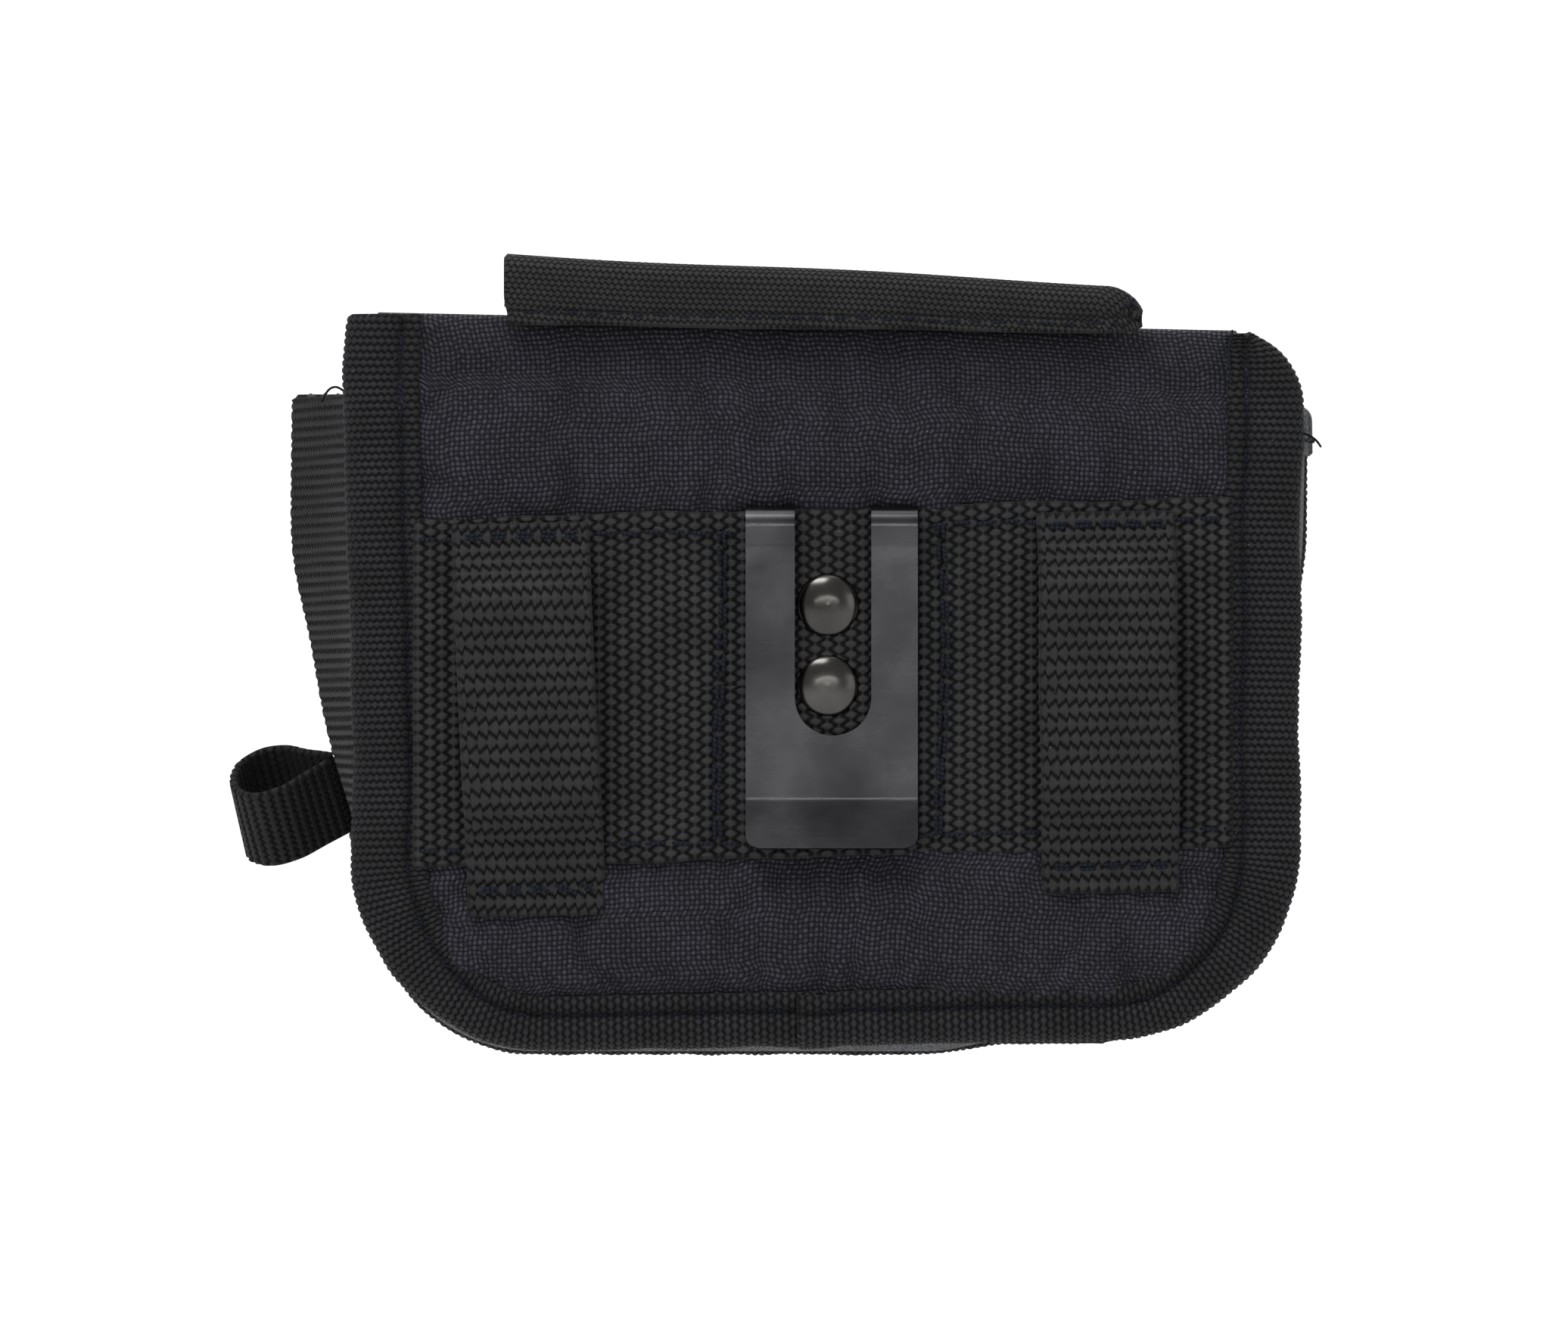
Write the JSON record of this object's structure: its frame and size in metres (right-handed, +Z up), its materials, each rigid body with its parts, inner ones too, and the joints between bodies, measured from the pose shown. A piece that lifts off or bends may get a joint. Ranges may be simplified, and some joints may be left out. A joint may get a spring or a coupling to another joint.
{
  "type": "tool pouch",
  "caption": "Belt-worn electrician's tool pouch: padded back with webbing belt loops and a riveted spring clip, gusseted pocket, flap, pen sleeve and side tool loop.",
  "frame": {"origin": "middle of the web band's outer face, where the belt lies", "axes": "+X along the belt, to the right seen from behind; +Y from the wearer to the front; +Z up"},
  "size_m": [0.1599, 0.0591, 0.1191],
  "materials": {
    "ballistic_cloth": "coarse plain-weave polyester, navy black",
    "foam_board": "closed-cell foam padding",
    "lining_cloth": "thin coated lining",
    "binding_tape": "ribbed folded tape",
    "wide_webbing": "heavy woven webbing",
    "narrow_webbing": "woven webbing",
    "sleeve_webbing": "woven webbing, folded",
    "side_webbing": "fine ribbed webbing",
    "grey_gusset": "grained split-leather look, grey",
    "blackened_steel": "satin black oxide spring steel",
    "rivet_steel": "satin black rivet caps",
    "hook_and_loop": "hook-and-loop pile",
    "stitching": "dark blue sewing thread"
  },
  "bodies": {
    "pouch": {"back_panel_outer": "ballistic_cloth", "back_panel_foam": "foam_board", "back_panel_lining": "lining_cloth", "edge_binding_left": "binding_tape", "edge_binding_right": "binding_tape", "web_band": "wide_webbing", "belt_loop_left": "narrow_webbing", "belt_loop_right": "narrow_webbing", "clip_rear_plate": "blackened_steel", "rivet_caps": "rivet_steel", "rivet_backs": "rivet_steel", "pen_sleeve": "sleeve_webbing", "gusset": "grey_gusset", "side_web": "side_webbing", "gusset_rim": "grey_gusset", "front_panel_lining": "lining_cloth", "front_panel_outer": "ballistic_cloth", "front_binding": "binding_tape", "mouth_binding": "binding_tape", "loop_tape": "hook_and_loop", "patch_pocket": "ballistic_cloth", "patch_pocket_binding": "binding_tape"},
    "clip_leaf": {"clip_leaf": "blackened_steel"},
    "flap_top": {"flap_top_outer": "ballistic_cloth", "flap_top_lining": "lining_cloth", "flap_top_binding_left": "binding_tape", "flap_top_binding_right": "binding_tape"},
    "flap_front": {"flap_front_outer": "ballistic_cloth", "flap_front_lining": "lining_cloth", "flap_front_binding": "binding_tape", "hook_tape": "hook_and_loop"},
    "tool_loop": {"side_tool_loop": "side_webbing"}
  },
  "joints": [
    {"name": "clip_spring", "type": "hinge", "parent": "pouch", "child": "clip_leaf", "pos_m": [0.00155, -0.00015, 0.02355], "axis": [-1, 0, 0], "range_deg": [0, 12], "stiffness_Nm_per_rad": 3, "springref_deg": -1.15},
    {"name": "flap_lift", "type": "hinge", "parent": "pouch", "child": "flap_top", "pos_m": [0, 0.0078, 0.05341], "axis": [0.9998, 0, -0.0213], "range_deg": [0, 100]},
    {"name": "flap_fold", "type": "hinge", "parent": "flap_top", "child": "flap_front", "pos_m": [-0.00019, 0.04272, 0.04438], "axis": [0.9998, 0, -0.0213], "range_deg": [0, 75]},
    {"name": "tool_loop_swing", "type": "hinge", "parent": "pouch", "child": "tool_loop", "pos_m": [-0.0726, 0.02, -0.0175], "axis": [0, 0, 1], "range_deg": [-35, 35], "stiffness_Nm_per_rad": 0.01}
  ]
}
